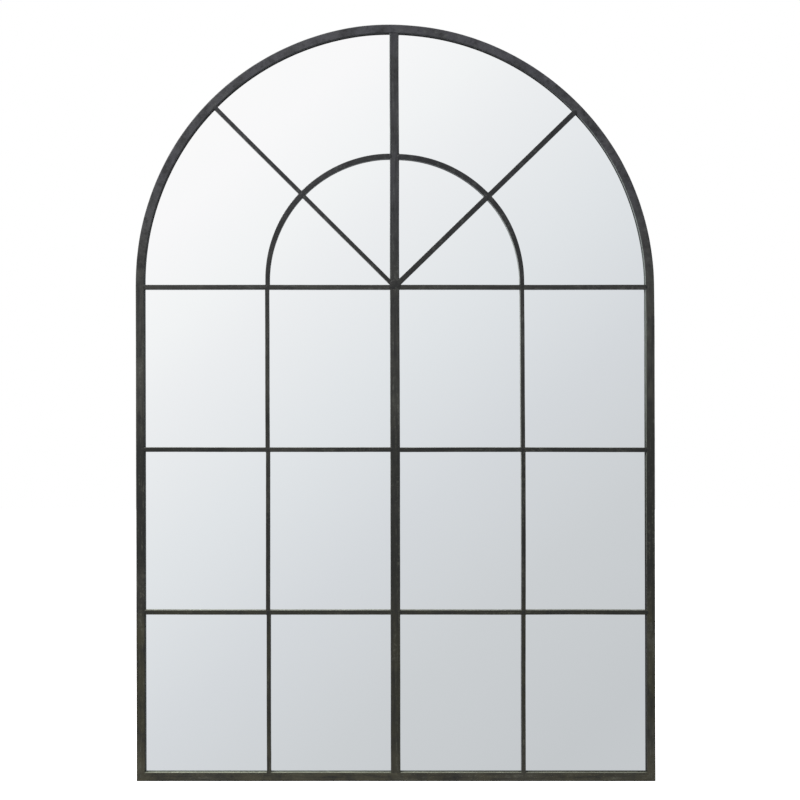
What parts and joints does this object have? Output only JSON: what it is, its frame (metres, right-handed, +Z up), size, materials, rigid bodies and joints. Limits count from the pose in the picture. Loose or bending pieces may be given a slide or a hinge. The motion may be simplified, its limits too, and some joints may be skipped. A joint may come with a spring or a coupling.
{
  "type": "arched window mirror",
  "caption": "Wall mirror shaped like an arched, divided window: a dark steel grille with a half-round fan top in front of a mirror sheet, hung by rings behind.",
  "frame": {"origin": "middle of the bottom rail's underside, halfway through the frame's depth", "axes": "+Z up; +X to the right as seen from the front; +Y towards the wall, so the mirror faces -Y"},
  "size_m": [1.2, 0.0329, 1.75],
  "materials": {
    "blackened_steel": "dark, hand-rubbed, slightly uneven matt coat",
    "mirror": "clear silvered glass",
    "hardboard": "plain brown fibreboard",
    "zinc": "bright zinc plate",
    "rubber": "matt black rubber"
  },
  "bodies": {
    "frame": {"arch_1_clip": "zinc", "arch_1_clip_screw": "zinc", "arch_2_clip": "zinc", "arch_2_clip_screw": "zinc", "arch_3_clip": "zinc", "arch_3_clip_screw": "zinc", "arch_bumper_1": "rubber", "arch_bumper_2": "rubber", "backing_board": "hardboard", "bottom_rail": "blackened_steel", "centre_mullion": "blackened_steel", "frame_arch": "blackened_steel", "left_cross_bar_1": "blackened_steel", "left_cross_bar_2": "blackened_steel", "left_cross_bar_3": "blackened_steel", "left_fan_bar_inner": "blackened_steel", "left_fan_bar_outer": "blackened_steel", "left_hanger_screw_1": "zinc", "left_hanger_screw_2": "zinc", "left_hanger_strap": "zinc", "left_inner_arch": "blackened_steel", "left_muntin_1": "blackened_steel", "left_muntin_2": "blackened_steel", "left_muntin_3": "blackened_steel", "left_rail_clip": "zinc", "left_rail_clip_screw": "zinc", "left_setting_block": "rubber", "left_stile": "blackened_steel", "left_stile_1_clip": "zinc", "left_stile_1_clip_screw": "zinc", "left_stile_2_clip": "zinc", "left_stile_2_clip_screw": "zinc", "left_stile_bumper": "rubber", "mirror_glass": "mirror", "right_cross_bar_1": "blackened_steel", "right_cross_bar_2": "blackened_steel", "right_cross_bar_3": "blackened_steel", "right_fan_bar_inner": "blackened_steel", "right_fan_bar_outer": "blackened_steel", "right_hanger_screw_1": "zinc", "right_hanger_screw_2": "zinc", "right_hanger_strap": "zinc", "right_inner_arch": "blackened_steel", "right_muntin_1": "blackened_steel", "right_muntin_2": "blackened_steel", "right_muntin_3": "blackened_steel", "right_rail_clip": "zinc", "right_rail_clip_screw": "zinc", "right_setting_block": "rubber", "right_stile": "blackened_steel", "right_stile_1_clip": "zinc", "right_stile_1_clip_screw": "zinc", "right_stile_2_clip": "zinc", "right_stile_2_clip_screw": "zinc", "right_stile_bumper": "rubber"},
    "left_ring": {"left_d_ring": "zinc"},
    "right_ring": {"right_d_ring": "zinc"}
  },
  "joints": [
    {"name": "left_ring_hinge", "type": "hinge", "parent": "frame", "child": "left_ring", "pos_m": [-0.59, 0.0161, 1.06], "axis": [1, 0, 0], "range_deg": [0, 180]},
    {"name": "right_ring_hinge", "type": "hinge", "parent": "frame", "child": "right_ring", "pos_m": [0.59, 0.0161, 1.06], "axis": [1, 0, 0], "range_deg": [0, 180]}
  ]
}
